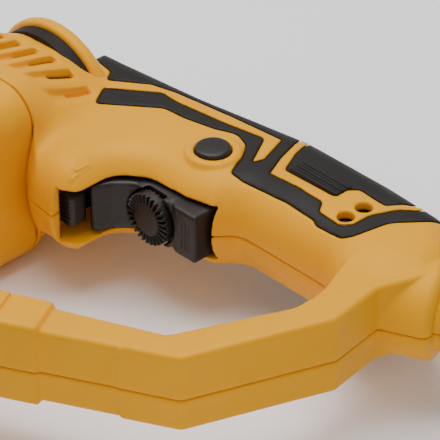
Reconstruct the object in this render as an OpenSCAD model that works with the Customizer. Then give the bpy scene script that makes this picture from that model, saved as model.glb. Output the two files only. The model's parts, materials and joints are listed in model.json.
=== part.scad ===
// Pistol-grip demolition hammer with a closed D-handle, lying on its right side.
// +X points out of the bit socket, +Y from the barrel to the foot of the grip, +Z to the tool's left.
// The origin is the mouth of the bit socket, on the spindle axis.

/* [Barrel] */
// Distance of the motor axis below the spindle axis
motor_y = 10; // [10:1:10]
// Half width of the motor barrel
barrel_half = 33; // [32:0.5:34]
// Corner radius of the barrel's section
barrel_corner = 12; // [10:1:16]
// Wall of the plastic casings
wall = 3; // [2.5:0.5:3.5]

/* [Grip] */
// Half thickness of the grip across the tool
grip_half = 17.5; // [17:0.5:18]
// Half thickness of the knuckle guard
guard_half = 16; // [15:0.5:16.5]
// Thickness of the guard right of the seam, mm
guard_half_right = 12; // [11.5:0.5:14]
// Half width of the trigger
trigger_half = 9.5; // [9:0.5:10]
// Radius of the lock-on button
button_r = 6; // [5.5:0.25:6.5]

/* [Bit socket] */
// Bore for a 10 mm bit shank
socket_r = 5.1; // [5.05:0.05:5.2]
// Depth of the plain socket bore
socket_len = 40; // [30:1:42]
// Outer radius of the clamping neck
neck_r = 21.5; // [21:0.5:22]

/* [Cord] */
// Radius of the mains lead
cord_r = 3.75; // [3.5:0.25:4]

/* [Hidden] */
$fn = 48;

clearance = 0.3;       // gap between casing parts and what moves in them
running = 0.05;        // radial clearance of a running fit
yellow = [0.98, 0.66, 0.08];
rubber = [0.09, 0.08, 0.08];
steel = [0.72, 0.72, 0.74];
copper = [0.72, 0.42, 0.2];
alloy = [0.62, 0.63, 0.65];

floor_z = -barrel_half;
seam_x = -272;         // where the handle shells meet the motor housing
band_x = -304;         // where the rear band begins
cap_x = -309;          // where the rear cap begins
cap_end_x = -315;
housing_front_x = -165;
gear_front_x = -92;
neck_front_x = -58;
rear_half = 25;        // half width of the barrel's rear end

// ---- helpers ----
function unit(v) = v / norm(v);

// Points of a closed outline whose corners [x, y, r] are rounded with radius r.
function rounded(c, n = 6) = [for (i = [0:len(c) - 1])
    let (p = [c[i][0], c[i][1]], a = c[(i + len(c) - 1) % len(c)], b = c[(i + 1) % len(c)],
        u = unit([a[0], a[1]] - p), v = unit([b[0], b[1]] - p), r = c[i][2],
        half = acos(max(-1, min(1, u * v))) / 2, mid = p + unit(u + v) * r / sin(half),
        s = p + u * r / tan(half) - mid, e = p + v * r / tan(half) - mid,
        s_deg = atan2(s[1], s[0]), turn = atan2(s[0] * e[1] - s[1] * e[0], s * e))
    each (r == 0 ? [p] : [for (k = [0:n]) mid + r * [cos(s_deg + turn * k / n), sin(s_deg + turn * k / n)]])];

// A cylinder or ring along +X, centred on [y, z].
module x_cyl(x0, x1, r, y = 0, z = 0, r2 = -1) {
    translate([x0, y, z]) rotate([0, 90, 0]) cylinder(h = x1 - x0, r1 = r, r2 = r2 < 0 ? r : r2);
}

module x_ring(x0, x1, r, hole, y = 0, z = 0) {
    difference() {
        x_cyl(x0, x1, r, y, z);
        x_cyl(x0 - 1, x1 + 1, hole, y, z);
    }
}

// A block along +X whose section is a rounded rectangle, y0 to y1 and half wide.
module x_block(x0, x1, y0, y1, half, corner) {
    section = rounded([[-half, y0, corner], [half, y0, corner], [half, y1, corner], [-half, y1, corner]]);
    translate([x0, 0, 0]) rotate([0, 90, 0]) linear_extrude(x1 - x0) polygon([for (p = section) [-p[0], p[1]]]);
}

// A screw along +Z with its head at the top.
module z_screw(x, y, z0, z1, r = 1.9, head_r = 3.4, head_h = 2.4) {
    difference() {
        union() {
            translate([x, y, z0]) cylinder(h = z1 - z0, r = r);
            translate([x, y, z1 - head_h]) cylinder(h = head_h, r = head_r);
        }
        translate([x, y, z1 - 1.5]) for (a = [0, 90]) rotate(a) translate([-2.2, -0.5, 0]) cube([4.4, 1, 3]);
    }
}

// A round-wire compression spring along +X as a stack of rings joined by a bar.
module x_spring(x0, x1, r, wire, turns, y = 0, z = 0) {
    pitch = (x1 - x0 - 2 * wire) / (turns - 1);
    for (i = [0:turns - 1]) translate([x0 + wire + i * pitch, y, z]) rotate([0, 90, 0])
        rotate_extrude() translate([r - wire, 0]) circle(r = wire, $fn = 16);
    x_cyl(x0 + wire, x1 - wire, wire * 0.6, y + r - wire, z);
}

// Involute spur gear along +X: m is the module, n the teeth, phase turns it by part of a tooth.
pressure = 25;
function inv_pt(rb, r, s) = let (t = sqrt(max(0, r * r / (rb * rb) - 1)), a = t * 180 / PI - atan(t))
    [r, s * a];
function gear_outline(m, n, lash) =
    let (rp = m * n / 2, rb = rp * cos(pressure), ra = rp + 0.8 * m, rf = rp - 1.15 * m,
        tp = sqrt(rp * rp / (rb * rb) - 1), inv_p = tp * 180 / PI - atan(tp),
        half = 90 / n - lash / rp * 180 / PI, lo = max(rb, rf), steps = 4)
    [for (i = [0:n - 1]) let (c = i * 360 / n) each concat(
        [let (a = c - half - inv_p) rf * [cos(a), sin(a)]],
        [for (k = [0:steps]) let (q = inv_pt(rb, lo + (ra - lo) * k / steps, 1), a = c - half - inv_p + q[1])
            q[0] * [cos(a), sin(a)]],
        [for (k = [steps:-1:0]) let (q = inv_pt(rb, lo + (ra - lo) * k / steps, 1), a = c + half + inv_p - q[1])
            q[0] * [cos(a), sin(a)]],
        [let (a = c + half + inv_p) rf * [cos(a), sin(a)]])];

module x_gear(x0, x1, m, n, bore, y, phase = 0, lash = 0.06) {
    difference() {
        translate([x0, y, 0]) rotate([0, 90, 0]) rotate(phase * 360 / n) linear_extrude(x1 - x0)
            polygon(gear_outline(m, n, lash));
        x_cyl(x0 - 1, x1 + 1, bore, y);
    }
}

// ---- handle shells ----
grip_outline = rounded([[-272, 12, 0], [-331, 12, 3], [-332, 25, 20], [-335.5, 60, 60],
    [-342.5, 104, 60], [-342.5, 140, 60], [-341, 166, 16], [-330, 181, 14], [-312, 188, 6],
    [-300, 180, 4], [-294, 172, 4], [-294, 158, 4], [-298, 150, 8], [-298, 112, 8], [-291, 106, 4],
    [-288.5, 96, 6], [-288.5, 78, 8], [-276, 68, 5], [-264.5, 64, 3], [-262, 43, 8], [-255, 43, 0],
    [-255, 20, 0], [-272, 20, 0]]);
guard_outline = rounded([[-300, 157, 6], [-283, 163.6, 12], [-270, 165.5, 10], [-233.7, 149, 9],
    [-185, 43, 0], [-168.5, 43, 0], [-199.5, 111.5, 30], [-226, 161, 9], [-273.5, 179.5, 6],
    [-294, 177, 6], [-312, 184, 0], [-318, 165, 0]]);

module layered(outline, steps) {
    for (s = steps) linear_extrude(s[0]) offset(delta = -s[1]) polygon(outline);
}

module barrel_taper(grow, short = 0) {
    hull() {
        x_block(seam_x - 1, seam_x, motor_y - barrel_half - grow, motor_y + barrel_half + grow,
            barrel_half + grow, barrel_corner + grow);
        x_block(band_x + short, band_x + short + 1, motor_y - rear_half - grow, motor_y + rear_half + grow,
            rear_half + grow, 20 + grow);
    }
}

module upper_half() {
    translate([-400, -60, 0]) cube([320, 330, 60]);
}

grip_steps = [[grip_half - 8, 0], [grip_half - 4, 1.6], [grip_half - 1.3, 4.6], [grip_half, 8]];
function guard_steps(half) = [[half - 2.5, 0], [half - 0.8, 1], [half, 2.4]];
gland_at = [-312, 178, 0];
gland_tilt = 25;

module along_gland() {
    translate(gland_at) rotate([0, 0, gland_tilt]) rotate([-90, 0, 0]) children();
}

led_at = [[-312.7, 144.7], [-320.3, 145.2]];
button_at = [-307.4, 90.1];
// x, y, boss height left, boss height right, depth of the screw's far end
screw_at = [[-305.5, 128, 15, 15, 12], [-335, 96, 12, 12, 12], [-332, 160, 15, 15, 12], [-294, 34, 17, 17, 12],
    [-229, 151, 14, 10.5, 8.5], [-281, 172, 14, 10.5, 8.5], [-198, 88, 14, 10.5, 8.5]];

module handle_half(guard_top) {
    difference() {
        union() {
            intersection() {
                layered(grip_outline, grip_steps);
                translate([-400, -60, -1]) cube([400 + seam_x, 330, 60]);
            }
            layered(guard_outline, guard_steps(guard_top));
            intersection() {
                barrel_taper(0);
                upper_half();
            }
            along_gland() intersection() {
                union() {
                    translate([0, 0, -4]) cylinder(h = 12, r = 16);
                    cylinder(h = 15, r = 12);
                }
                translate([-30, -30, -10]) cube([60, 30, 40]);
            }
        }
        // hollow of the grip, the guard and the barrel
        translate([0, 0, -1]) layered(grip_outline, [for (s = grip_steps) [s[0] - wall + 1, s[1] + wall + 0.2]]);
        translate([0, 0, -1]) linear_extrude(guard_top - wall + 1) difference() {
            offset(delta = -wall) polygon(guard_outline);
            translate([-200, 30]) square([60, 24]);
        }
        barrel_taper(-wall, 3);
        x_block(seam_x - 0.5, seam_x + 1, motor_y - barrel_half + wall, motor_y + barrel_half - wall,
            barrel_half - wall, barrel_corner - wall);
        x_cyl(band_x - 10, band_x + 5, 20, motor_y);
        // trigger, lever, dial, button and light openings
        translate([-306, 64.5, -1]) cube([44, 41.3, trigger_half + 1.3]);
        translate([-296, 57.5, -1]) cube([40, 10, 12.5]);
        translate([button_at[0], button_at[1], 5]) cylinder(h = 30, r = button_r + clearance);
        for (p = led_at) translate([p[0], p[1], 5]) cylinder(h = 30, r = 2.85);
        // cord tunnel
        along_gland() translate([0, 0, -14]) cylinder(h = 40, r = 7);
        along_gland() translate([0, 0, 9]) cylinder(h = 12, r = 9.2);
        // louvres
        for (i = [0:4]) translate([-303 + (i % 2) * 3, 29 - i * 9, 12]) cube([19, 3.4, 30]);
    }
}

module shell_bosses(column) {
    for (p = screw_at) translate([p[0], p[1], 0]) cylinder(h = p[column], r = 4);
}

// The rubber skin is inlaid in the shell, so the shell leaves its room free.
rubber_outline = rounded([[-318, 8, 0], [-312, 30, 2], [-308, 37, 2], [-299, 43, 2], [-311, 56, 3],
    [-318, 58, 3], [-322, 95, 3], [-318, 99, 3], [-304, 108, 4], [-311.5, 136, 3], [-308, 148, 3],
    [-330, 159, 6], [-331, 170, 3], [-360, 172, 0], [-360, 8, 0]]);
rubber_depth = 1.6;

module rubber_region(z1) {
    linear_extrude(z1) polygon(rubber_outline);
}

module grip_core(inset) {
    layered(grip_outline, [for (s = grip_steps) [s[0] - inset, s[1] + inset]]);
}

module rubber_skin() {
    intersection() {
        difference() {
            grip_core(0);
            translate([0, 0, -1]) grip_core(rubber_depth);
            translate([button_at[0], button_at[1], 0]) cylinder(h = 30, r = 10.5);
            for (p = led_at) translate([p[0], p[1], 5]) cylinder(h = 30, r = 3.4);
            for (p = screw_at) translate([p[0], p[1], -1]) cylinder(h = 12.7, r = 3.6);
        }
        rubber_region(40);
        translate([-400, 30, 0]) cube([120, 142, 40]);
    }
}

module screw_holes() {
    for (p = screw_at) translate([p[0], p[1], -1]) cylinder(h = 13.5, r = 2);
}

module bearing_seat() {
    intersection() {
        x_ring(-299, -291, 26.8, 11 + running, motor_y);
        upper_half();
    }
}

module handle_shell_left() {
    color(yellow) difference() {
        union() {
            handle_half(guard_half);
            shell_bosses(2);
            bearing_seat();
        }
        rubber_skin();
        guard_void();
        screw_holes();
    }
}

module handle_shell_right() {
    color(yellow) mirror([0, 0, 1]) difference() {
        union() {
            handle_half(guard_half_right);
            shell_bosses(3);
            bearing_seat();
        }
        rubber_skin();
        guard_void();
        screw_holes();
        for (p = screw_at) translate([p[0], p[1], p[4] - 3]) cylinder(h = 40, r = 3.6);
    }
}

// Room that the switch, lever and bearing seats need inside the shells.
module guard_void() {
    translate([-331, 55.5, -1]) cube([46, 47, 10.5]);
    x_cyl(cap_x - 2, -298.5, 12, motor_y);
}

module grip_rubber_left() { color(rubber) rubber_skin(); }
module grip_rubber_right() { color(rubber) mirror([0, 0, 1]) rubber_skin(); }

module grip_cut() {
    layered(grip_outline, grip_steps);
    mirror([0, 0, 1]) layered(grip_outline, grip_steps);
}

module rear_band() {
    color(rubber) difference() {
        x_cyl(cap_x, band_x, 27, motor_y);
        x_cyl(cap_x - 1, band_x + 1, 21, motor_y);
        grip_cut();
    }
}

module rear_cap() {
    color(yellow) difference() {
        translate([cap_x, motor_y, 0]) rotate([0, -90, 0]) rotate_extrude()
            polygon(rounded([[0, 0, 0], [29, 0, 1.5], [29, cap_x - cap_end_x - 1, 2.5], [0, cap_x - cap_end_x, 0]]));
        translate([cap_x + 1, motor_y, 0]) rotate([0, -90, 0]) cylinder(h = 4, r = 21);
        grip_cut();
    }
}

// ---- casings ----
corner_at = [[-14, 24], [-14, -24], [34, 24], [34, -24]];
counter_y = 30;

module motor_housing() {
    color(yellow) difference() {
        x_block(seam_x + 0.3, housing_front_x, motor_y - barrel_half, motor_y + barrel_half, barrel_half,
            barrel_corner);
        x_block(seam_x - 1, housing_front_x + 1, motor_y - barrel_half + wall, motor_y + barrel_half - wall,
            barrel_half - wall, barrel_corner - wall);
        for (i = [0:6]) for (s = [-1, 1]) translate([-190 + i * 3.2 - 10, motor_y - 14, s * 33 - 4])
            cube([1.6, 28, 8]);
    }
}

module gear_housing() {
    color(alloy) difference() {
        union() {
            difference() {
                x_block(housing_front_x + 0.3, gear_front_x, -31, 53, 31.5, 16);
                x_block(housing_front_x - 1, gear_front_x + 1, -28, 50, 28.5, 13);
            }
            intersection() {
                x_block(-107, -98, -28, 50, 28.5, 13);
                x_block(-107, -98, -29, 51, 29.5, 13);
            }
            for (c = corner_at) x_cyl(housing_front_x + 0.3, -155, 5, c[0], c[1]);
        }
        x_cyl(-108, -97, 19.05, 0);
        x_cyl(-108, -97, 8.05, counter_y);
        for (c = corner_at) x_cyl(-170, -150, 2.3, c[0], c[1]);
        translate([-132, 12, 20]) cylinder(h = 20, r = 4.3);
    }
}

module nose_housing() {
    color(alloy) difference() {
        union() {
            hull() {
                x_block(gear_front_x, gear_front_x + 1, -30, 52, 30.5, 16);
                x_cyl(-85, -84, 24, 0);
            }
            x_cyl(-85, neck_front_x, neck_r);
        }
        hull() {
            x_block(gear_front_x - 1, gear_front_x, -27, 49, 27.5, 13);
            x_cyl(-87, -86, 20, 0);
        }
        x_cyl(-88, -65.5, 17.05);
        x_cyl(-80, -50, 14);
    }
}

module bearing_plate() {
    color(alloy) difference() {
        union() {
            x_block(-176, -166, motor_y - 29.8, motor_y + 29.8, 29.8, 9.8);
            x_cyl(-167, -164.5, 9.5, counter_y);
            x_cyl(-164.9, -160, 11, counter_y);
        }
        x_cyl(-174, -150, 8, motor_y);
        x_cyl(-180, -168, 13.05, motor_y);
        x_cyl(-165.5, -150, 8.05, counter_y);
        for (c = corner_at) x_cyl(-180, -150, 2.3, c[0], c[1]);
    }
}

// ---- motor ----
module stator_core() {
    color(steel) difference() {
        x_cyl(-245, -200, 29, motor_y);
        x_cyl(-246, -199, 22.6, motor_y);
    }
}

module stator_coils() {
    color(copper) difference() {
        union() {
            x_ring(-254, -245, 28, 23.2, motor_y);
            x_ring(-200, -192, 28, 23.2, motor_y);
        }
        translate([-260, motor_y - 5, -40]) cube([80, 10, 80]);
    }
}

module brush_holders() {
    color([0.75, 0.6, 0.3]) for (s = [0, 1]) mirror([0, 0, s]) difference() {
        translate([-284.5, motor_y - 5.5, 14.2]) cube([13.5, 11, 12]);
        translate([-282, motor_y - 3.5, 13]) cube([8, 7, 12.6]);
    }
}

module carbon_brushes() {
    color([0.2, 0.2, 0.22]) for (s = [0, 1]) mirror([0, 0, s])
        translate([-281.9, motor_y - 3.4, 13.1]) cube([7.8, 6.8, 8]);
}

module brush_springs() {
    color(steel) for (s = [0, 1]) mirror([0, 0, s]) translate([-278, motor_y, 21.1]) {
        for (i = [0:3]) translate([0, 0, 0.4 + i * 1.15]) rotate_extrude() translate([2.4, 0]) circle(r = 0.4, $fn = 12);
        translate([2.4, 0, 0.4]) cylinder(h = 3.5, r = 0.3, $fn = 12);
    }
}

module armature_shaft() {
    color(steel) {
        x_cyl(-299, -157, 4, motor_y);
        x_cyl(-157.5, -157, 5, motor_y);
        x_gear(-157, -147, 0.8, 9, 0, motor_y, 0.25);
    }
}

module armature_core() {
    color(steel) difference() {
        x_cyl(-245, -200, 22, motor_y);
        x_cyl(-246, -199, 4, motor_y);
        for (i = [0:11]) translate([-246, motor_y, 0]) rotate([i * 30, 0, 0]) translate([0, -1.2, 16]) cube([50, 2.4, 8]);
    }
}

module armature_windings() {
    color(copper) {
        x_ring(-262, -245, 18, 4, motor_y);
        x_ring(-200, -190, 18, 4, motor_y);
    }
}

module commutator() {
    color(copper) difference() {
        x_ring(-286, -267, 13, 4, motor_y);
        for (i = [0:23]) translate([-287, motor_y, 0]) rotate([i * 15, 0, 0]) translate([0, -0.3, 12]) cube([17, 0.6, 3]);
    }
}

module cooling_fan() {
    color([0.15, 0.15, 0.16]) {
        x_ring(-181, -179, 27, 4, motor_y);
        x_ring(-188, -181, 8, 4, motor_y);
        for (i = [0:11]) translate([-188, motor_y, 0]) rotate([i * 30, 0, 0]) translate([0, -0.8, 7]) cube([7, 1.6, 19.5]);
    }
}

module rear_bearing() {
    color(steel) x_ring(-298, -290.5, 11, 4, motor_y);
}

module front_bearing() {
    color(steel) x_ring(-176, -168.5, 13, 4 + running, motor_y);
}

// ---- drive ----
module countershaft() {
    color(steel) x_cyl(-165, -100, 4, counter_y);
}

module counter_gear() {
    color(steel) x_gear(-157, -148, 0.8, 41, 4, counter_y, 0.25);
}

module counter_pinion() {
    color(steel) x_gear(-119, -108, 1, 12, 4, counter_y, 0);
}

module wobble_hub() {
    color(steel) difference() {
        x_cyl(-144, -124, 8, counter_y);
        x_cyl(-145, -123, 4, counter_y);
        translate([-134, counter_y, 0]) rotate([0, 0, 12]) x_ring(-1.6, 1.6, 10, 7);
    }
}

module wobble_ring() {
    color(steel) {
        translate([-134, counter_y, 0]) rotate([0, 0, 12]) x_ring(-1.4, 1.4, 10.5, 8.7);
        translate([-134, counter_y, 0]) rotate([0, 0, 12]) x_ring(-4, 4, 13, 10);
        translate([-134, counter_y, 0]) rotate([0, 0, 12]) translate([0, -18, 0]) rotate([90, 0, 0])
            translate([0, 0, -6]) cylinder(h = 6.5, r = 2.6);
    }
}

module counter_bearings() {
    color(steel) {
        x_ring(-165, -160.2, 8, 4 + running, counter_y);
        x_ring(-107, -101, 8, 4 + running, counter_y);
    }
}

module spindle_tube() {
    color(steel) difference() {
        union() {
            x_cyl(-122, -60, 13);
            x_cyl(-60, 0, 9.5);
        }
        x_cyl(-123, -72, 10);
        x_cyl(-73, -50, 7.5);
        x_cyl(-51, -44, socket_r + 0.3);
        x_cyl(-45, 1, socket_r);
        for (s = [-1, 1]) translate([-27, s * 8 - 5, -2.7]) cube([6, 10, 5.4]);
    }
}

module spindle_gear() {
    color(steel) x_gear(-118, -109, 1, 48, 13, 0, 0.5);
}

module spindle_bearings() {
    color(steel) {
        x_ring(-107, -98, 19, 13 + running);
        x_ring(-78, -66, 17, 13 + running);
    }
}

module piston() {
    color(steel) difference() {
        x_cyl(-140, -113, 9.95);
        x_ring(-118, -116, 11, 9.2);
        translate([-138, 2, -3.2]) cube([10, 10, 6.4]);
    }
}

module striker() {
    color(steel) difference() {
        x_cyl(-102, -88, 9.95);
        x_ring(-96.5, -93.5, 11, 8.4);
    }
}

module striker_ring() {
    color(rubber) x_ring(-96.5, -93.5, 9.95, 8.4);
}

module impact_bolt() {
    color(steel) {
        x_cyl(-79, -70, 5);
        x_cyl(-70, -53, 7.45);
        x_cyl(-53, -46, 5.05);
    }
}

module locking_balls() {
    color(steel) for (s = [-1, 1]) translate([-24, s * 7.9, 0]) sphere(r = 2.5);
}

module release_sleeve() {
    color([0.16, 0.16, 0.17]) difference() {
        translate([-48, 0, 0]) rotate([0, 90, 0]) rotate_extrude()
            polygon(rounded([[12, 0, 0], [19, 0, 2], [19, 12, 6], [16.5, 20, 6], [16, 30, 2], [12, 32, 0]]));
        x_cyl(-49, -30, 13.5);
    }
    color([0.16, 0.16, 0.17]) x_ring(-30, -22, 13, 10.5 + running);
}

module sleeve_spring() {
    color(steel) x_spring(-47.5, -30.5, 12.6, 0.7, 6);
}

module dust_cap() {
    color(rubber) difference() {
        translate([-13, 0, 0]) rotate([0, 90, 0]) rotate_extrude()
            polygon(rounded([[9.5, 0, 0], [15.5, 0, 1.5], [13.5, 9, 4], [11.5, 13, 1.5], [9.5, 13, 0]]));
    }
}

module mode_knob() {
    color([0.15, 0.15, 0.16]) translate([-132, 12, 0]) {
        translate([0, 0, 25]) cylinder(h = 8, r = 4);
        translate([0, 0, 31.9]) cylinder(h = 4.6, r = 15);
        translate([0, 0, 36]) intersection() {
            cylinder(h = 8, r = 14);
            translate([-14, -4.5, 0]) cube([28, 9, 8]);
        }
    }
}

// ---- controls ----
module switch_body() {
    color([0.13, 0.13, 0.14]) {
        translate([-330, 56, -5]) cube([43, 1.8, 10]);
        translate([-290, 57, 0]) rotate([-90, 0, 0]) cylinder(h = 8, r = 1.5);
    }
    color([0.13, 0.13, 0.14]) difference() {
        union() {
            translate([-330, 59, -9]) cube([24.5, 42, 18]);
            translate([-330, 56, -5]) cube([24.5, 4, 10]);
        }
        translate([-312, 84.5, 0]) rotate([0, 90, 0]) cylinder(h = 10, r = 5);
    }
}

trigger_outline = rounded([[-274, 66.3, 0.8], [-276.5, 70, 2], [-284, 75.3, 2], [-287, 76, 0], [-287, 93.5, 0],
    [-284.5, 97, 2], [-285.5, 103.9, 1.5], [-299, 103.9, 1], [-299, 66.3, 1]]);

module trigger() {
    color(rubber) difference() {
        translate([0, 0, -trigger_half + 0.6]) linear_extrude(2 * trigger_half - 1.2) polygon(trigger_outline);
        x_cyl(-300, -270, 3 + running, 84.5);
        x_cyl(-287.4, -270, 9.5, 84.5);
        translate([-302, 73, -5]) cube([5.2, 23, 10]);
    }
}

module trigger_spring() {
    color(steel) x_spring(-311.5, -297, 4, 0.6, 6, 84.5);
}

module speed_dial() {
    color([0.12, 0.12, 0.13]) difference() {
        union() {
            x_cyl(-286.7, -283.5, 9, 84.5);
            x_cyl(-283.5, -280.5, 9, 84.5, 0, 7.2);
            x_cyl(-294, -286.6, 3, 84.5);
        }
        x_cyl(-281.3, -280, 5.2, 84.5);
        for (i = [0:17]) translate([-287, 84.5, 0]) rotate([i * 20, 0, 0]) translate([0, -0.5, 8.5]) cube([4, 1, 2]);
    }
}

module direction_lever() {
    color([0.12, 0.12, 0.13]) difference() {
        lever_body();
        translate([-290, 50, 0]) rotate([-90, 0, 0]) cylinder(h = 20, r = 1.5 + running);
    }
}

module lever_body() {
    union() {
        translate([-272, 59.5, -7]) cube([5, 5, 14]);
        for (i = [-2:2]) translate([-267.4, 59.5, i * 2.8 - 0.7]) cube([1.2, 5, 1.4]);
        translate([-290, 60.5, -2.5]) cube([19, 3.2, 5]);
        translate([-290, 58.3, 0]) rotate([-90, 0, 0]) cylinder(h = 6.2, r = 3.5);
    }
}

module lock_button() {
    color([0.14, 0.13, 0.13]) translate([button_at[0], button_at[1], 0]) {
        translate([0, 0, 12.4]) cylinder(h = 1.5, r = button_r + 1.2);
        translate([0, 0, 12.4]) cylinder(h = 7.2, r = button_r);
        translate([0, 0, 19.6]) cylinder(h = 0.8, r1 = button_r, r2 = button_r - 0.8);
    }
}

module led_board() {
    color([0.1, 0.35, 0.15]) translate([-326, 139, 9.5]) cube([18.5, 12, 1.6]);
}

module led_lens_red() {
    color([0.8, 0.1, 0.1]) translate([led_at[0][0], led_at[0][1], 11.1]) cylinder(h = 5.6, r = 2.75);
}

module led_lens_green() {
    color([0.2, 0.7, 0.1]) translate([led_at[1][0], led_at[1][1], 11.1]) cylinder(h = 5.6, r = 2.75);
}

module handle_screws() {
    color(steel) mirror([0, 0, 1]) for (p = screw_at) z_screw(p[0], p[1], -11.4, p[4] - 0.6);
}

module housing_screws() {
    color(steel) for (c = corner_at) {
        x_cyl(-182, -152.5, 2.2, c[0], c[1]);
        x_cyl(-155, -152, 3.8, c[0], c[1]);
    }
}

module cord_clamp() {
    color([0.14, 0.14, 0.15]) translate([gland_at[0], gland_at[1], 0]) rotate([0, 0, gland_tilt]) difference() {
        translate([-9, -18, -7]) cube([18, 6, 14]);
        translate([0, -20, 0]) rotate([-90, 0, 0]) cylinder(h = 10, r = cord_r);
    }
}

module strain_relief() {
    color(rubber) along_gland() difference() {
        union() {
            translate([0, 0, -10]) cylinder(h = 12, r = 6.95);
            translate([0, 0, 9.3]) cylinder(h = 5, r = 9);
            translate([0, 0, 1]) cylinder(h = 55, r1 = 6.95, r2 = 5);
            for (i = [0:5]) translate([0, 0, 18 + i * 6]) cylinder(h = 3, r = 7.6 - i * 0.3);
        }
        translate([0, 0, -12]) cylinder(h = 80, r = cord_r);
    }
}

// ---- side handle ----
module side_handle_collar() {
    color(rubber) difference() {
        union() {
            x_cyl(-81, -67, 27);
            translate([-80, -42, -8]) cube([12, 20, 16]);
            translate([-80, 20, -10]) cube([12, 14, 20]);
        }
        x_cyl(-82, -66, neck_r + running);
        x_cyl(-82, -66, 3 + running, -36);
    }
}

module side_handle_grip() {
    color(rubber) translate([-74, 54, 0]) rotate([-90, 0, 0]) rotate_extrude()
        polygon(rounded([[0, 0, 0], [16, 0, 3], [16, 5, 2], [13, 12, 6], [16, 60, 40], [14, 108, 6], [17, 118, 5],
            [0, 122, 0]]));
}

module collar_bolt() {
    color(steel) translate([-74, 0, 0]) rotate([-90, 0, 0]) translate([0, 0, 34]) cylinder(h = 20, r = 6);
}

module depth_rod() {
    color(steel) x_cyl(-88, 30, 3, -36);
}

// ---- mains lead ----
lead_route = [[-304, 161, 0], [-312, 178, 0], [-320.5, 196, 0], [-329, 214.5, 0], [-337.5, 232.5, 0],
    [-345, 249, -1], [-351, 264, -4], [-356, 277, -9], [-361, 290, -15], [-365, 302, -21], [-368, 314, -26],
    [-370, 324, -29], [-370, 330, -29.25]];
lead_d = lead_route[len(lead_route) - 1];
coil_r = 52.75;

function ring_at(path, i, r, n) =
    let (d = unit(path[min(i + 1, len(path) - 1)] - path[max(i - 1, 0)]), u = unit(cross(d, [0, 0, 1])),
        v = cross(u, d))
    [for (k = [0:n - 1]) path[i] + r * (cos(k * 360 / n) * u + sin(k * 360 / n) * v)];

module tube(path, r, n) {
    m = len(path);
    polyhedron(
        points = [for (i = [0:m - 1]) each ring_at(path, i, r, n)],
        faces = concat([[for (k = [0:n - 1]) n - 1 - k]], [[for (k = [0:n - 1]) (m - 1) * n + k]],
            [for (i = [0:m - 2]) for (k = [0:n - 1])
                [i * n + k, i * n + (k + 1) % n, (i + 1) * n + (k + 1) % n, (i + 1) * n + k]]));
}

module mains_lead() { color(rubber) tube(lead_route, cord_r, 10); }

module lead_coil() {
    color(rubber) translate([lead_d[0] + coil_r, lead_d[1], floor_z]) rotate_extrude()
        polygon(rounded([[coil_r - 18.75, 0, 3.5], [coil_r + 3.75, 0, 3.5], [coil_r + 3.75, 30, 3.5],
            [coil_r - 18.75, 30, 3.5]], 4));
}

module plug() {
    color(rubber) translate([lead_d[0] + 2 * coil_r, lead_d[1] + 4, floor_z + 17]) rotate([-90, 0, 0]) {
        cylinder(h = 24, r1 = 5, r2 = 8);
        translate([0, 0, 22]) cylinder(h = 34, r = 17);
    }
    color(steel) for (s = [-1, 1]) translate([lead_d[0] + 2 * coil_r + s * 9.5, lead_d[1] + 59, floor_z + 17])
        rotate([-90, 0, 0]) cylinder(h = 19, r = 2.4);
}

handle_shell_left();
handle_shell_right();
grip_rubber_left();
grip_rubber_right();
rear_band();
rear_cap();
motor_housing();
gear_housing();
nose_housing();
bearing_plate();
stator_core();
stator_coils();
brush_holders();
carbon_brushes();
brush_springs();
armature_shaft();
armature_core();
armature_windings();
commutator();
cooling_fan();
rear_bearing();
front_bearing();
countershaft();
counter_gear();
counter_pinion();
wobble_hub();
wobble_ring();
counter_bearings();
spindle_tube();
spindle_gear();
spindle_bearings();
piston();
striker();
striker_ring();
impact_bolt();
locking_balls();
release_sleeve();
sleeve_spring();
dust_cap();
mode_knob();
switch_body();
trigger();
trigger_spring();
speed_dial();
direction_lever();
lock_button();
led_board();
led_lens_red();
led_lens_green();
handle_screws();
housing_screws();
cord_clamp();
strain_relief();
side_handle_collar();
side_handle_grip();
collar_bolt();
depth_rod();
mains_lead();
lead_coil();
plug();
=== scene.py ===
"""The looks of the corded hammer, on the CAD frame: shells, rubber skin, trigger group, lead and materials.

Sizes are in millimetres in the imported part's own frame. Curved pieces are signed distances on a grid,
negative inside, which are meshed once they are complete.
"""
import json
import math

import bpy
import numpy as np
import openvdb as vdb
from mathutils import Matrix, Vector


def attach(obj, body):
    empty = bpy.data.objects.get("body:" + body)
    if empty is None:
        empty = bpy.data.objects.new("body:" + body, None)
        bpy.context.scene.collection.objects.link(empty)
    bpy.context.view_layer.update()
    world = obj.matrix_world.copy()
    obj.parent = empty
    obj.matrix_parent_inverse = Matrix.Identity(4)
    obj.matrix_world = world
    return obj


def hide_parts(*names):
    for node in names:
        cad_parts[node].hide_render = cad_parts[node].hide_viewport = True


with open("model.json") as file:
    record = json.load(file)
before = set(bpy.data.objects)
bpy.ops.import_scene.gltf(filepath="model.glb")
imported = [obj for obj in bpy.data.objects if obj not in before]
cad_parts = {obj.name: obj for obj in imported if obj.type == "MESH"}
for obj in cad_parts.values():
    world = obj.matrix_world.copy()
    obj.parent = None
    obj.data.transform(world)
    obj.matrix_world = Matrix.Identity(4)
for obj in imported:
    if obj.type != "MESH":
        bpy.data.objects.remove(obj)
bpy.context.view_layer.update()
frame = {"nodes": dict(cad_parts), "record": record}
ROOT = "casing"
MM = 0.001

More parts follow.
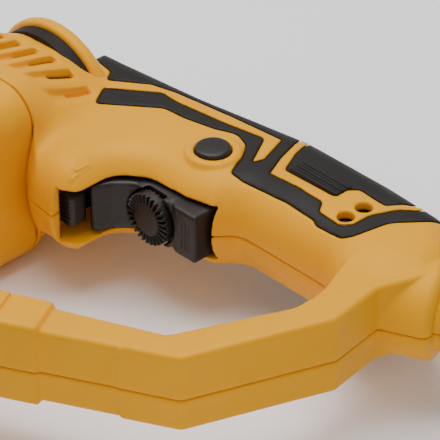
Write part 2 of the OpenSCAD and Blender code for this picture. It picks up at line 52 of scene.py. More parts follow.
# ---------------------------------------------------------------- camera and lead
AIM = Vector((-0.300, 0.101, 0.0))
AZ, EL, DIST = math.radians(136), math.radians(35), 1.0
BACK = Vector((math.sin(AZ) * math.cos(EL), -math.cos(AZ) * math.cos(EL), math.sin(EL)))
cam_data = bpy.data.cameras.new("camera")
cam = bpy.data.objects.new("camera", cam_data)
bpy.context.scene.collection.objects.link(cam)
cam.location = AIM + BACK * DIST
cam.rotation_mode = "QUATERNION"
cam.rotation_quaternion = (-BACK).to_track_quat("-Z", "Y")
cam_data.lens, cam_data.sensor_width = 253.6, 36
bpy.context.scene.camera = cam

FLOOR = -0.033
LEAD_R = 0.00375
# the lead from its clamp inside the grip, down to the floor and to the start of its coil
ROUTE = [(-304, 161, 0), (-312, 178, 0), (-320.5, 196, 0), (-329, 214.5, 0), (-337.5, 232.5, 0),
         (-345, 249, -1), (-351, 264, -4), (-356, 277, -9), (-361, 290, -15), (-365, 302, -21),
         (-368, 314, -26), (-369.5, 324, -29), (-370, 330, -29.25)]
COIL_X, COIL_Y = -317.25, 330.0
COIL_R = 0.05275
TURNS = 10


def link(name, mesh):
    o = bpy.data.objects.new(name, mesh)
    bpy.context.scene.collection.objects.link(o)
    return o


# ---------------------------------------------------------------- materials
def noise(nt, scale, detail=2.0, rough=0.5):
    n = nt.nodes.new("ShaderNodeTexNoise")
    n.inputs["Scale"].default_value = scale
    n.inputs["Detail"].default_value = detail
    n.inputs["Roughness"].default_value = rough
    tc = nt.nodes.new("ShaderNodeTexCoord")
    nt.links.new(tc.outputs["Object"], n.inputs["Vector"])
    return n


def remap(nt, src, lo, hi, a=0.3, b=0.7):
    r = nt.nodes.new("ShaderNodeMapRange")
    r.inputs["From Min"].default_value, r.inputs["From Max"].default_value = a, b
    r.inputs["To Min"].default_value, r.inputs["To Max"].default_value = lo, hi
    nt.links.new(src, r.inputs["Value"])
    return r.outputs["Result"]


def material(name, colour, dark, rough, grain=2500.0, bump=0.02, metal=0.0, wear=0.0, stretch=None):
    """Plastic, rubber or metal: a fine grain, slow colour drift, uneven gloss and paler worn edges."""
    m = bpy.data.materials.new(name)
    m.use_nodes = True
    nt = m.node_tree
    p = nt.nodes["Principled BSDF"]
    drift = noise(nt, 28.0, 3.0)
    mix = nt.nodes.new("ShaderNodeMix")
    mix.data_type = "RGBA"
    mix.inputs["A"].default_value = (*dark, 1)
    mix.inputs["B"].default_value = (*colour, 1)
    nt.links.new(remap(nt, drift.outputs["Fac"], 0.0, 1.0), mix.inputs["Factor"])
    base = mix.outputs["Result"]
    if wear:
        geo = nt.nodes.new("ShaderNodeNewGeometry")
        edge = remap(nt, geo.outputs["Pointiness"], 0.0, wear, 0.52, 0.62)
        pale = nt.nodes.new("ShaderNodeMix")
        pale.data_type = "RGBA"
        pale.inputs["B"].default_value = (*[min(1.0, c * 1.3 + 0.03) for c in colour], 1)
        nt.links.new(base, pale.inputs["A"])
        nt.links.new(edge, pale.inputs["Factor"])
        base = pale.outputs["Result"]
    nt.links.new(base, p.inputs["Base Color"])
    fine = noise(nt, grain, 3.0, 0.6)
    if stretch:
        mp = nt.nodes.new("ShaderNodeMapping")
        mp.inputs["Scale"].default_value = stretch
        src = fine.inputs["Vector"].links[0].from_socket
        nt.links.new(src, mp.inputs["Vector"])
        nt.links.new(mp.outputs["Vector"], fine.inputs["Vector"])
    gloss = noise(nt, 60.0, 2.0)
    nt.links.new(remap(nt, gloss.outputs["Fac"], rough - 0.05, rough + 0.06), p.inputs["Roughness"])
    b = nt.nodes.new("ShaderNodeBump")
    b.inputs["Strength"].default_value = 1.0
    b.inputs["Distance"].default_value = bump * MM
    nt.links.new(fine.outputs["Fac"], b.inputs["Height"])
    nt.links.new(b.outputs["Normal"], p.inputs["Normal"])
    p.inputs["Metallic"].default_value = metal
    return m


YELLOW = material("yellow_abs", (0.84, 0.37, 0.0), (0.80, 0.34, 0.0), 0.42, 1800, 0.02, wear=0.15)
RUBBER = material("black_rubber", (0.012, 0.009, 0.008), (0.009, 0.007, 0.006), 0.6, 2600, 0.05)
BLACK = material("black_nylon", (0.014, 0.011, 0.010), (0.010, 0.008, 0.007), 0.42, 2200, 0.03, wear=0.25)
WHITE = (1, 1, 1, 1)
for mat, level, tint in ((YELLOW, 0.4, (1.0, 0.7, 0.2, 1)), (RUBBER, 0.3, WHITE), (BLACK, 0.4, WHITE)):
    mat.node_tree.nodes["Principled BSDF"].inputs["Specular IOR Level"].default_value = level
    mat.node_tree.nodes["Principled BSDF"].inputs["Specular Tint"].default_value = tint
STEEL = material("turned_steel", (0.62, 0.62, 0.64), (0.5, 0.5, 0.52), 0.28, 900, 0.01, 1.0, 0.2,
                 stretch=(6, 1, 1))
ALLOY = material("cast_alloy", (0.42, 0.43, 0.45), (0.33, 0.34, 0.36), 0.5, 700, 0.06, 1.0, 0.25)
COPPER = material("copper_wire", (0.72, 0.3, 0.12), (0.5, 0.18, 0.07), 0.35, 900, 0.06, 1.0,
                  stretch=(9, 1, 1))
CARBON = material("carbon", (0.04, 0.04, 0.045), (0.02, 0.02, 0.022), 0.5, 1500, 0.03)
BOARD = material("circuit_board", (0.02, 0.16, 0.06), (0.015, 0.12, 0.05), 0.4, 1500, 0.02)
RED_LENS = material("red_lens", (0.22, 0.012, 0.01), (0.16, 0.01, 0.008), 0.12, 900, 0.004)
GREEN_LENS = material("green_lens", (0.02, 0.09, 0.02), (0.015, 0.07, 0.015), 0.12, 900, 0.004)
BY_SLOT = {"yellow_plastic": YELLOW, "black_rubber": RUBBER, "black_plastic": BLACK, "steel": STEEL,
           "cast_alloy": ALLOY, "copper": COPPER, "carbon": CARBON, "board": BOARD, "red_lens": RED_LENS,
           "green_lens": GREEN_LENS}

# ---------------------------------------------------------------- implicit modelling helpers (millimetres)
def outline(corners, n=6):
    """A closed outline whose corners (x, y, r) are rounded with radius r."""
    pts = []
    m = len(corners)
    for i, (x, y, r) in enumerate(corners):
        p = np.array([x, y], float)
        if r == 0:
            pts.append(p)
            continue
        u = np.array(corners[i - 1][:2], float) - p
        v = np.array(corners[(i + 1) % m][:2], float) - p
        u /= np.linalg.norm(u)
        v /= np.linalg.norm(v)
        half = math.acos(max(-1, min(1, float(u @ v)))) / 2
        mid = p + (u + v) / np.linalg.norm(u + v) * r / math.sin(half)
        s = p + u * r / math.tan(half) - mid
        e = p + v * r / math.tan(half) - mid
        a = math.atan2(s[1], s[0])
        turn = math.atan2(s[0] * e[1] - s[1] * e[0], float(s @ e))
        for k in range(n + 1):
            t = a + turn * k / n
            pts.append(mid + r * np.array([math.cos(t), math.sin(t)]))
    return np.array(pts)


def sdf2(pts, x, y):
    """Signed distance to a closed outline, negative inside."""
    best = np.full(x.shape, 1e9, np.float32)
    within = np.zeros(x.shape, bool)
    for a, b in zip(pts, np.roll(pts, -1, axis=0)):
        ex, ey = b - a
        wx, wy = x - a[0], y - a[1]
        t = np.clip((wx * ex + wy * ey) / (ex * ex + ey * ey + 1e-12), 0, 1)
        best = np.minimum(best, (wx - ex * t) ** 2 + (wy - ey * t) ** 2)
        if a[1] != b[1]:
            within ^= ((a[1] > y) != (b[1] > y)) & (x < (b[0] - a[0]) * (y - a[1]) / (b[1] - a[1]) + a[0])
    best = np.sqrt(best)
    return np.where(within, -best, best).astype(np.float32)


def smin(a, b, k):
    h = np.maximum(k - np.abs(a - b), 0) / k
    return np.minimum(a, b) - h * h * k * 0.25


def smax(a, b, k):
    return -smin(-a, -b, k)


def ramp(x, a, b):
    t = np.clip((x - a) / (b - a), 0, 1)
    return t * t * (3 - 2 * t)


def corner(a, b, r):
    """The meeting of two faces, a and b, with a round edge of radius r. Both distances are taken r inside."""
    return np.sqrt(np.maximum(a, 0) ** 2 + np.maximum(b, 0) ** 2) + np.minimum(np.maximum(a, b), 0) - r


def edge_box(d, z, top, e):
    """A prism with inside distance d and height top, its upper edge rounded by e."""
    return corner(e - d, z - (top - e), e)


def inside(*faces):
    """What lies inside all the faces."""
    f = faces[0]
    for g in faces[1:]:
        f = np.maximum(f, g)
    return f


def radius(u, v, at=(0.0, 0.0)):
    return np.sqrt((u - at[0]) ** 2 + (v - at[1]) ** 2)


class Grid:
    def __init__(self, lo, hi, h):
        self.h, self.lo = h, np.array(lo, float)
        n = [int(math.ceil((b - a) / h)) + 1 for a, b in zip(lo, hi)]
        ax = [(lo[i] + h * np.arange(n[i])).astype(np.float32) for i in range(3)]
        self.x, self.y, self.z = ax[0][:, None, None], ax[1][None, :, None], ax[2][None, None, :]
        self.n = n
        self.x2, self.y2 = np.meshgrid(ax[0], ax[1], indexing="ij")

    def plan(self, pts):
        return sdf2(pts, self.x2, self.y2)[:, :, None]

    def mesh(self, f, adapt=0.0):
        h = self.h
        f = np.clip(np.broadcast_to(f, self.n), -3 * h, 3 * h).astype(np.float64)
        f = np.pad(f, 1, constant_values=3 * h)
        g = vdb.FloatGrid(3 * h)
        g.copyFromArray(f)
        pts, tris, quads = g.convertToPolygons(0.0, adapt)
        pts = (np.array(pts, float) - 1) * h + self.lo
        return pts, [tuple(int(i) for i in face[::-1]) for part in (tris, quads) for face in part]


def piece(name, pts, faces, mat, body, *nodes, slot, flip=False):
    """A mesh that rides on a body in the place of CAD nodes. flip turns a left half into a right one."""
    if flip:
        pts = pts * np.array([1, 1, -1.0])
        faces = [f[::-1] for f in faces]
    me = bpy.data.meshes.new(name)
    me.from_pydata([tuple(p) for p in pts * MM], [], faces)
    me.polygons.foreach_set("use_smooth", [True] * len(me.polygons))
    me.materials.append(mat)
    me.validate()
    o = link(name, me)
    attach(o, body)
    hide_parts(*nodes)


# ---------------------------------------------------------------- shapes shared by shell and rubber
GRIP = outline([(-331, 12, 3), (-332, 25, 20), (-335.5, 60, 60), (-342.5, 104, 60), (-342.5, 140, 60),
                (-341, 166, 16), (-330, 181, 14), (-312, 188, 6), (-300, 180, 4), (-294, 172, 4),
                (-294, 158, 4), (-298, 150, 8), (-298, 112, 8), (-291, 106, 4), (-288.5, 96, 6),
                (-287.5, 80, 6), (-281.5, 71.5, 8), (-266, 71.5, 6), (-261.5, 64, 8), (-263, 50, 8),
                (-272.2, 41, 0), (-272.2, 12, 0)])
GUARD = outline([(-300, 157, 6), (-283, 163.6, 12), (-270, 165.5, 10), (-233.7, 149, 3), (-185, 43, 0),
                 (-168.5, 43, 0), (-199.5, 111.5, 30), (-226, 161, 4), (-273.5, 179.5, 3), (-294, 177, 6),
                 (-312, 184, 0), (-318, 165, 0)])
MOTOR_Y, SEAM_X, BAND_X = 10.0, -272.0, -304.0
DIAL_Y = 84.5
POCKET_TOP = 10.2
BUTTON = (-307.4, 90.1)
LEDS = [(-312.7, 144.7), (-320.3, 145.2)]
# x, y and depth of the screws that hold the handle's halves together
SCREWS = [(-305.5, 128, 12), (-335, 96, 12), (-332, 160, 12), (-294, 34, 12), (-229, 151, 8.5),
          (-281, 172, 8.5), (-198, 88, 8.5)]
GLAND = (-312.0, 178.0)
TILT = math.radians(25)

# the black skin's outlines, laid out flat on the grip's side face
BAND_A = outline([(-360, 16, 0), (-319, 16, 0), (-316.5, 31, 1), (-312, 34, 1), (-321, 46.5, 1.5),
                  (-323.5, 56, 8), (-326.5, 79, 10), (-328.5, 100.5, 0.6), (-316.5, 104.5, 0.8),
                  (-312.3, 103, 0.4), (-325, 96, 2), (-322, 80, 10), (-319.5, 60, 8), (-320, 53, 3),
                  (-308, 37, 1.2), (-299.5, 42, 1.2), (-314, 60, 6), (-314.7, 69, 10),
                  (-317.3, 80.5, 3), (-320.5, 88, 6), (-318, 94.5, 4), (-314, 97.5, 4),
                  (-303.3, 102.5, 2), (-302.5, 109, 10), (-304.2, 127, 0), (-303.5, 139.5, 1.5),
                  (-301.8, 142.5, 1.5), (-302.5, 152.5, 2), (-306, 154.2, 3), (-319.5, 157, 10),
                  (-330, 166, 8), (-332, 172, 0), (-360, 176, 0), (-360, 164, 0), (-332, 160, 4),
                  (-326.5, 154, 8), (-318, 150, 8), (-311, 149.8, 2.5), (-307.3, 147, 2),
                  (-308, 137.5, 1.6), (-312.6, 134.5, 1.6), (-313, 123, 20), (-312, 111.5, 0.8),
                  (-321, 107.6, 8), (-330, 105, 0), (-360, 103, 0)])
BAND_E = outline([(-360, 106.5, 0), (-330, 108.3, 4), (-326, 109.3, 6), (-317, 113.4, 0.8),
                  (-317.6, 135.3, 1.6), (-323, 135.2, 2), (-326, 138, 2), (-325.3, 149.5, 2),
                  (-330, 153, 4), (-333, 158, 0), (-360, 160, 0)])


def barrel(g):
    """The rear of the motor barrel, which tapers from a rounded square to a rounder, smaller one."""
    t = np.clip((SEAM_X - g.x) / (SEAM_X - BAND_X), -0.2, 1.2)
    half = 33 - 8 * t
    r = np.clip(12 + 9 * t, 8, 24)
    return corner(np.abs(g.y - MOTOR_Y) - (half - r), np.abs(g.z) - (half - r), r)


def grip_body(g):
    """The grip, with a section near an ellipse: GRIP is its outline, and it is 17.5 thick each way."""
    deep, power = 15.5, 2.25
    q = np.maximum(deep + g.plan(GRIP), 0) / deep
    return ((q ** power + (np.abs(g.z) / 17.5) ** power) ** (1 / power) - 1) * 15.0


def side_of(g, a, b):
    """Signed distance from the line through a and b, positive on its left."""
    a, b = np.array(a, float), np.array(b, float)
    u = (b - a) / np.linalg.norm(b - a)
    return (g.x - a[0]) * -u[1] + (g.y - a[1]) * u[0]


def guard_body(g, top):
    """The knuckle guard, with its raised collar, the crease beside it and the groove at its front end."""
    d = -g.plan(GUARD) - 0.03 * np.abs(g.z)
    s1 = side_of(g, (-203.0, 121.5), (-216.5, 115.0))
    s2 = side_of(g, (-214.0, 142.0), (-233.0, 149.5))
    step = 0.9 * ramp(s1, -0.8, 0.8) - 0.5 * ramp(s2, -0.5, 0.5) * ramp(-s1, -0.8, 0.8)
    f = edge_box(d + step * 0.8, g.z - step, top, 1.6)
    groove = np.abs(side_of(g, (-203.0, 106.0), (-209.3, 103.0)))
    return np.maximum(f, -(np.maximum(groove - 0.45, -f - 0.9)))


def gland(g):
    """The stepped neck that the lead's sleeve comes out of, with its radius and its own length axis."""
    lx = (g.x - GLAND[0]) * math.cos(TILT) + (g.y - GLAND[1]) * math.sin(TILT)
    ly = -(g.x - GLAND[0]) * math.sin(TILT) + (g.y - GLAND[1]) * math.cos(TILT)
    r = np.sqrt(lx ** 2 + g.z ** 2)

    def puck(size, top, e):
        return corner(r - size + e, ly - top + e, e)
    return np.minimum(inside(puck(16, 8, 3.5), -8 - ly), inside(puck(12, 15, 2.2), -2 - ly)), r, ly


def louvres(g, f):
    """Six ramps across the barrel, each with a slot at its low end. The first one's slot is blind."""
    for i in range(6):
        y0 = 36.5 - 7.4 * i
        x0 = -302.5 + 1.1 * i
        inx = np.minimum(ramp(g.x, x0 - 0.2, x0 + 0.4), 1 - ramp(g.x, x0 + 15, x0 + 21))
        slope = np.clip(1 - (g.y - (y0 - 2.0)) / 5.4, 0, 1) * (g.y > y0 - 2.0)
        f = f + (1.7 if i == 0 else 2.2) * inx * slope * (g.z > 4)
        hole = np.maximum(np.maximum(np.abs(g.y - (y0 - 0.9)) - 0.8, np.abs(g.x - (x0 + 5.4)) - 5.0), 3 - g.z)
        if i == 0:
            hole = np.maximum(hole, -f - 0.8)
        f = np.maximum(f, -hole)
    return f


def outer_form(g, guard_top):
    """The handle's outer surface before anything is cut from it."""
    b = np.maximum(np.maximum(barrel(g), BAND_X - g.x), g.x - SEAM_X + 0.15)
    f = smin(b, grip_body(g), 12.0)
    gl, r, ly = gland(g)
    f = smin(f, guard_body(g, guard_top), 2.0)
    f = np.minimum(f, gl)
    boss_r = radius(g.x, g.y, BUTTON)
    boss_edge = 1.4
    boss = corner(boss_r - 9.3 + boss_edge, g.z - 18.9 + boss_edge, boss_edge)
    return smin(f, boss, 1.5), r, ly, boss_r


def pattern(g):
    """Distance to the skin's outlines, read along a slant so that they wrap onto the spine."""
    lean = np.maximum(g.z, 10.0) - 17.5
    u = np.broadcast_to(g.x - lean, g.n).reshape(-1)
    v = np.broadcast_to(g.y - lean, g.n).reshape(-1)
    h = 0.4
    gx = np.arange(-372, -280, h)
    gy = np.arange(0, 190, h)
    px, py = np.meshgrid(gx, gy, indexing="ij")
    flat = np.minimum(sdf2(BAND_A, px, py), sdf2(BAND_E, px, py))
    flat = np.maximum(flat, 9.8 - radius(px, py, BUTTON))
    i = np.clip((u - gx[0]) / h, 0, len(gx) - 1.001)
    j = np.clip((v - gy[0]) / h, 0, len(gy) - 1.001)
    i0, j0 = i.astype(np.int32), j.astype(np.int32)
    fi, fj = i - i0, j - j0
    out = ((1 - fi) * (1 - fj) * flat[i0, j0] + fi * (1 - fj) * flat[i0 + 1, j0]
           + (1 - fi) * fj * flat[i0, j0 + 1] + fi * fj * flat[i0 + 1, j0 + 1])
    return out.reshape(g.n).astype(np.float32)


# the grid of the left half, which the right half is also made on
G = Grid((-346, -26, -0.5), (-166, 197, 35), 0.5)
pat = pattern(G)
skin_zone = np.maximum(pat, 14 - G.y)
slant = np.maximum(G.z, 10) - 17.5


def take(f, tool, k=0.0):
    """Cuts tool away from f, with an edge radius near k."""
    return smax(f, -tool, k) if k else np.maximum(f, -tool)


def skin(form):
    """The rubber: a sheet 1.5 thick, 0.12 under the grip's surface, with ribs on the thumb pad."""
    rib = np.zeros(1, np.float32)
    for rx in (-324.7, -322.0, -319.3):
        across = np.abs(G.x - slant - rx)
        along = np.abs(G.y - slant - 124.2) - 10.2
        rib = np.maximum(rib, 0.65 * np.clip(1.6 - across * 1.7, 0, 1) * np.clip(1 - along, 0, 1))
    f = smax(form + 0.12 - rib, skin_zone + 0.1, 0.5)
    return np.maximum(np.maximum(f, -(form + 1.5)), 0.05 - G.z)


def arrow(f):
    """A raised arrow above the lever, on the left half."""
    a, b = [np.abs(v.reshape(-1) - m) < 20 for v, m in ((G.x, -270.0), (G.y, 65.0))]
    xs, ys = np.where(a)[0], np.where(b)[0]
    sl = (slice(xs[0], xs[-1] + 1), slice(ys[0], ys[-1] + 1), slice(None))
    n = (len(xs), len(ys), G.n[2])
    u = np.broadcast_to(G.x[xs] - G.z + 20, n)
    v = np.broadcast_to(G.y[:, ys] - G.z + 20, n)
    shape = outline([(-260.5, 72.5, 0), (-266.5, 67.5, 0), (-266, 69.5, 0), (-271, 69.5, 0),
                     (-270.5, 71, 0), (-265.5, 71, 0)])
    d = np.abs(sdf2(shape, u, v))
    f = np.array(np.broadcast_to(f, G.n))
    f[sl] -= 0.4 * np.clip(1.2 - d * 2.2, 0, 1) * (np.broadcast_to(G.z, n) > 8)
    return f


def control_pocket():
    """The room behind the trigger, the well round the lever and the open front between them."""
    top = G.z - POCKET_TOP
    pocket = inside(np.abs(G.x + 284) - 22, np.abs(G.y - 85.2) - 20.6, top)
    well = inside(np.abs(G.x + 280.8) - 15.2, np.abs(G.y - 62) - 6, top)
    front = inside(np.abs(G.x + 260) - 16, np.abs(G.y - 70.5) - 8.5, top)
    return np.minimum(pocket, np.minimum(well, front))


def screw_seats(f, form):
    """Columns under the screws' heads, with counterbores, in the right half."""
    for x, y, deep in SCREWS:
        r = radius(G.x, G.y, (x, y))
        f = np.minimum(f, inside(r - 5, form, deep - 5 - G.z))
        f = take(f, inside(r - 3.6, deep - 3 - G.z), 0.4)
        f = take(f, inside(r - 2.1, -1 - G.z))
    return f


def shell_half(left):
    """One half of the handle with its skin, in the frame of the left half."""
    guard_top = 15.9 if left else 11.9
    form, gl_r, gl_y, boss_r = outer_form(G, guard_top)
    # the seam's chamfer, and the bed of the rubber skin
    f = np.maximum(form + 0.35 * np.clip(1 - G.z / 0.7, 0, 1), np.minimum(0.1 - skin_zone, form + 1.6))
    f = np.maximum(f, np.where(skin_zone > 0, (form - skin_zone + 0.4) * 0.707, -10))
    f = louvres(G, f)
    if left:
        f = arrow(f)
    # the hollow, which leaves a wall round the pocket, and the trigger spring's way through that wall
    wall, pocket_wall = 3.0, 2.2
    pocket = control_pocket()
    f = take(f, inside(form + wall, pocket_wall - pocket))
    f = take(f, inside(radius(G.y, G.z, (DIAL_Y, 0)) - 5.5, np.abs(G.x + 310) - 8))
    if left:
        f = take(f, inside(boss_r - 6.3, 5 - G.z), 0.6)
        f = take(f, inside(boss_r - 7.9, np.abs(G.z - 11.2) - 3.1))
        for led in LEDS:
            f = take(f, inside(radius(G.x, G.y, led) - 2.85, 5 - G.z), 0.6)
    f = take(f, pocket, 0.5)
    # the lead's way out and its sleeve's seat
    f = take(f, inside(gl_r - 7.0, -14 - gl_y))
    f = take(f, inside(gl_r - 9.2, 9 - gl_y), 0.8)
    # the rear bearing's opening, and room for the motor housing
    f = take(f, inside(radius(G.y, G.z, (MOTOR_Y, 0)) - 20, G.x - BAND_X - 6))
    f = take(f, inside(SEAM_X - 0.15 - G.x, G.y - 43.3, G.x + 235), 0.2)
    f = take(f, inside(G.y - 43.05, -235 - G.x))
    if not left:
        f = screw_seats(f, form)
    return np.maximum(f, 0.05 - G.z), skin(form)


for left, side in ((True, "left"), (False, "right")):
    shell, rubber = shell_half(left)
    piece("shell_" + side, *G.mesh(shell, 0.01), YELLOW, ROOT, "handle_shell_" + side, slot="yellow_plastic",
          flip=not left)
    piece("grip_skin_" + side, *G.mesh(rubber, 0.01), RUBBER, ROOT, "grip_rubber_" + side,
          slot="black_rubber", flip=not left)
    del shell, rubber
del pat, skin_zone


# ---------------------------------------------------------------- trigger, dial, lever and button
def trigger():
    """A blade with a cowl round the dial's seat and three grooves in its thick end."""
    side = outline([(-299, 66.3, 0.8), (-274, 66.3, 1), (-275, 68.5, 1), (-280, 71, 3), (-284.5, 75.5, 4),
                    (-287, 79, 3), (-288.2, 84, 4), (-288, 90, 3), (-285.5, 95, 2), (-285.5, 104.2, 1),
                    (-299, 104.2, 0.8)])
    half = 9.1
    g = Grid((-301, 64.5, -10.5), (-272, 106, 10.5), 0.35)
    f = edge_box(-g.plan(side), np.abs(g.z), half, 1.2)
    r = radius(g.y, g.z, (DIAL_Y, 0))
    cowl = np.maximum(smax(r - 11.4, g.x + 285.6, 0.8), np.maximum(-298 - g.x, np.abs(g.z) - half))
    f = smin(f, cowl, 0.8)
    f = smax(f, -np.maximum(r - 9.9, -g.x - 288.2), 0.4)
    f = take(f, r - 3.4)
    f = take(f, inside(np.abs(g.x + 299.4) - 2.6, np.abs(g.y - DIAL_Y) - 11.5, np.abs(g.z) - 5))
    for y in (98.0, 99.6, 101.2):
        f = take(f, inside(np.abs(g.y - y) - 0.25, np.abs(g.z) - 5, -g.x - 285.9))
    piece("trigger_skin", *g.mesh(f, 0.01), BLACK, "trigger_body", "trigger", slot="black_rubber")


def speed_dial():
    """A wheel with 28 ribs on its face and rim, a plain hub and a shaft."""
    g = Grid((-295, 74.5, -10), (-279.5, 94.5, 10), 0.22)
    r = radius(g.y, g.z, (DIAL_Y, 0))
    rib = np.clip(0.5 + 0.9 * np.cos(28 * np.arctan2(g.z, g.y - DIAL_Y)), 0, 1)
    disc = smax(r - 8.7 - 0.5 * rib, np.abs(g.x + 285.4) - 1.6, 0.3)
    face = inside(r - 9.2, 5.4 - r, -286.0 - g.x, g.x + 283.8 - 1.3 * rib)
    face = smax(face, (r - 9.0) + (g.x + 282.6), 0.3)
    hub = smax(r - 5.8, np.maximum(g.x + 282.2 + 0.012 * r ** 2, -287 - g.x), 0.8)
    shaft = inside(r - 3.0, np.abs(g.x + 290) - 4)
    f = np.minimum(np.minimum(disc, face), np.minimum(hub, shaft))
    piece("dial_wheel", *g.mesh(f, 0.01), BLACK, "dial_body", "speed_dial", slot="black_plastic")


def direction_lever():
    """A thumb block with seven ribs, on an arm that turns on a pin."""
    g = Grid((-295, 57, -8), (-265, 66, 8), 0.3)
    off = np.abs(g.y - 62.3)
    block = smax(smax(np.abs(g.x + 271.2) - 3.2, off - 3.2, 1.6), np.abs(g.z) + 0.35 * off - 6.6, 1.0)
    for i in range(-3, 4):
        bead = radius(g.x, g.z, (-268.2, 1.55 * i)) - 0.75
        block = np.minimum(block, smax(bead, np.abs(g.y - 62.0) - 2.6, 0.5))
    arm = inside(np.abs(g.x + 280.5) - 9.5, np.abs(g.y - 62.1) - 1.6, np.abs(g.z) - 2.5)
    pin_r = radius(g.x, g.z, (-290, 0))
    pivot = inside(pin_r - 3.5, np.abs(g.y - 61.4) - 3.1)
    f = take(np.minimum(smin(block, arm, 1.0), pivot), pin_r - 1.65)
    piece("lever_ribbed", *g.mesh(f, 0.01), BLACK, "lever_body", "direction_lever", slot="black_plastic")


def lock_button():
    """A round cap with a slightly domed top, and the skirt that keeps it in."""
    foot = 12.4
    g = Grid((-315.5, 82, 12), (-299.5, 98.5, 21), 0.25)
    r = radius(g.x, g.y, BUTTON)
    cap = inside(smax(r - 6.0, g.z - 20.35 + 0.012 * r ** 2, 1.2), foot - g.z)
    skirt = inside(r - 7.2, g.z - 13.9, foot - g.z)
    piece("button_cap", *g.mesh(np.minimum(cap, skirt), 0.01), BLACK, "button_body", "lock_button",
          slot="black_plastic")


def motor_casing():
    """The rounded square tube round the motor, with seven vents in each flat side."""
    g = Grid((-273.5, -25, -35), (-163.5, 45, 35), 0.55)

    def square(half, r):
        return corner(np.abs(g.y - MOTOR_Y) - (half - r), np.abs(g.z) - (half - r), r)

    f = smax(square(32.95, 12), np.abs(g.x + 218.35) - 53.3, 0.8)
    f = take(f, square(30, 9))
    for i in range(7):
        f = take(f, inside(np.abs(g.x + 199.2 - 3.2 * i) - 0.8, np.abs(g.y - MOTOR_Y) - 14, 28 - np.abs(g.z)))
    piece("motor_casing", *g.mesh(f, 0.01), YELLOW, ROOT, "motor_housing", slot="yellow_plastic")


def lenses():
    """Domed lenses, sunk in their windows."""
    for (x, y), name, mat in zip(LEDS, ("red", "green"), (RED_LENS, GREEN_LENS)):
        g = Grid((x - 3.5, y - 3.5, 10.5), (x + 3.5, y + 3.5, 16.5), 0.25)
        r = radius(g.x, g.y, (x, y))
        f = inside(smax(r - 2.6, g.z - 14.8 + 0.16 * r ** 2, 0.4), 11.15 - g.z)
        piece("lens_" + name, *g.mesh(f, 0.01), mat, ROOT, "led_lens_" + name, slot=name + "_lens")


trigger()
speed_dial()
direction_lever()
lock_button()
motor_casing()
lenses()


# ---------------------------------------------------------------- lead and coil, and materials on the CAD parts
def smooth_path(points, per=6):
    """Points along a smooth curve through the given ones."""
    p = [np.array(q, float) for q in points]
    p = [2 * p[0] - p[1]] + p + [2 * p[-1] - p[-2]]
    out = []
    for i in range(1, len(p) - 2):
        for k in range(per):
            t = k / per
            out.append(0.5 * (2 * p[i] + (p[i + 1] - p[i - 1]) * t
                              + (2 * p[i - 1] - 5 * p[i] + 4 * p[i + 1] - p[i + 2]) * t * t
                              + (3 * p[i] - p[i - 1] - 3 * p[i + 1] + p[i + 2]) * t ** 3))
    out.append(p[-2])
    return out


def tube(name, path, thick, mat, sides=14):
    """A round bar of radius thick along a path, closed at both ends."""
    path = [np.array(q, float) for q in path]
    verts, faces = [], []
    up = np.array([0, 0, 1.0])
    for i, q in enumerate(path):
        d = path[min(i + 1, len(path) - 1)] - path[max(i - 1, 0)]
        d /= np.linalg.norm(d)
        u = np.cross(d, up)
        u /= np.linalg.norm(u)
        v = np.cross(u, d)
        for k in range(sides):
            a = 2 * math.pi * k / sides
            verts.append(tuple(q + thick * (math.cos(a) * u + math.sin(a) * v)))
    for i in range(len(path) - 1):
        for k in range(sides):
            a, b = i * sides + k, i * sides + (k + 1) % sides
            faces.append((a, b, b + sides, a + sides))
    faces.append(tuple(range(sides))[::-1])
    faces.append(tuple((len(path) - 1) * sides + k for k in range(sides)))
    me = bpy.data.meshes.new(name)
    me.from_pydata(verts, [], faces)
    me.polygons.foreach_set("use_smooth", [True] * len(me.polygons))
    me.materials.append(mat)
    return link(name, me)


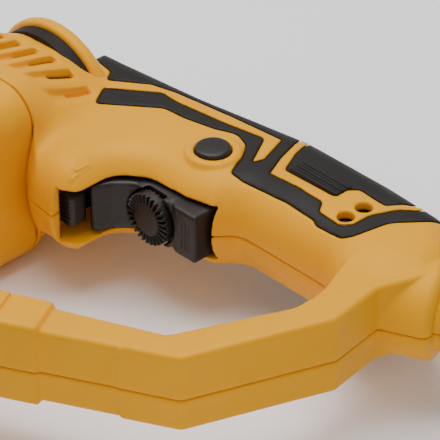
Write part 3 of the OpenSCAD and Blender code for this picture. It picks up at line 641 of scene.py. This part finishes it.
def lead_line():
    """The whole lead: the route to the floor, then a coil with three turns in each layer."""
    line = [np.array(q) * MM for q in smooth_path(ROUTE)]
    c = np.array([COIL_X, COIL_Y]) * MM
    pitch = 2 * LEAD_R
    radii = [COIL_R, COIL_R - pitch, COIL_R - 2 * pitch]
    order = []
    for layer in range(4):
        seq = [0, 1, 2] if layer % 2 == 0 else [2, 1, 0]
        order += [(layer, radii[j]) for j in seq]
    turns = order[:TURNS]
    z0 = FLOOR + LEAD_R
    per = 40
    for t, (layer, r) in enumerate(turns):
        nxt = turns[t + 1] if t + 1 < len(turns) else (layer, r)
        for k in range(1, per + 1):
            a = k / per
            # each turn is round until its last part, which leads over to the next turn
            s = float(np.clip((a - 0.72) / 0.28, 0, 1))
            s = s * s * (3 - 2 * s)
            rr = r + (nxt[1] - r) * s
            zz = z0 + pitch * (layer + (nxt[0] - layer) * s)
            th = math.pi - 2 * math.pi * a
            line.append(np.array([c[0] + rr * math.cos(th), c[1] + rr * math.sin(th), zz]))
    return line


LINE = lead_line()
for n, o in frame["nodes"].items():
    slot_name = next(sp["material_slot"] for sp in frame["record"]["subparts"] if sp["node"] == n)
    o.data.materials.clear()
    o.data.materials.append(BY_SLOT[slot_name])
lead = tube("lead", LINE, LEAD_R, RUBBER)
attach(lead, ROOT)
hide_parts("mains_lead", "lead_coil")

# ---------------------------------------------------------------- floor and light
bpy.ops.mesh.primitive_plane_add(size=8, location=(-0.3, 0.1, FLOOR - 0.0002))
floor = bpy.context.object
floor.name = "floor"
fm = bpy.data.materials.new("floor")
fm.use_nodes = True
fm.node_tree.nodes["Principled BSDF"].inputs["Base Color"].default_value = (0.95, 0.95, 0.95, 1)
fm.node_tree.nodes["Principled BSDF"].inputs["Roughness"].default_value = 0.7
floor.data.materials.append(fm)


def area(name, loc, size, power):
    data = bpy.data.lights.new(name, "AREA")
    data.energy, data.size = power, size
    o = bpy.data.objects.new(name, data)
    bpy.context.scene.collection.objects.link(o)
    o.location = loc
    o.rotation_mode = "QUATERNION"
    o.rotation_quaternion = (AIM - Vector(loc)).to_track_quat("-Z", "Y")


area("top", (-0.35, -0.05, 0.9), 0.8, 9.0)
area("left", (-0.1, -0.6, 0.6), 0.6, 1.5)
area("front", (0.35, 0.75, 0.5), 0.7, 0.8)
world = bpy.data.worlds.new("world")
bpy.context.scene.world = world
world.use_nodes = True
world.node_tree.nodes["Background"].inputs["Color"].default_value = (1, 1, 1, 1)
world.node_tree.nodes["Background"].inputs["Strength"].default_value = 0.5
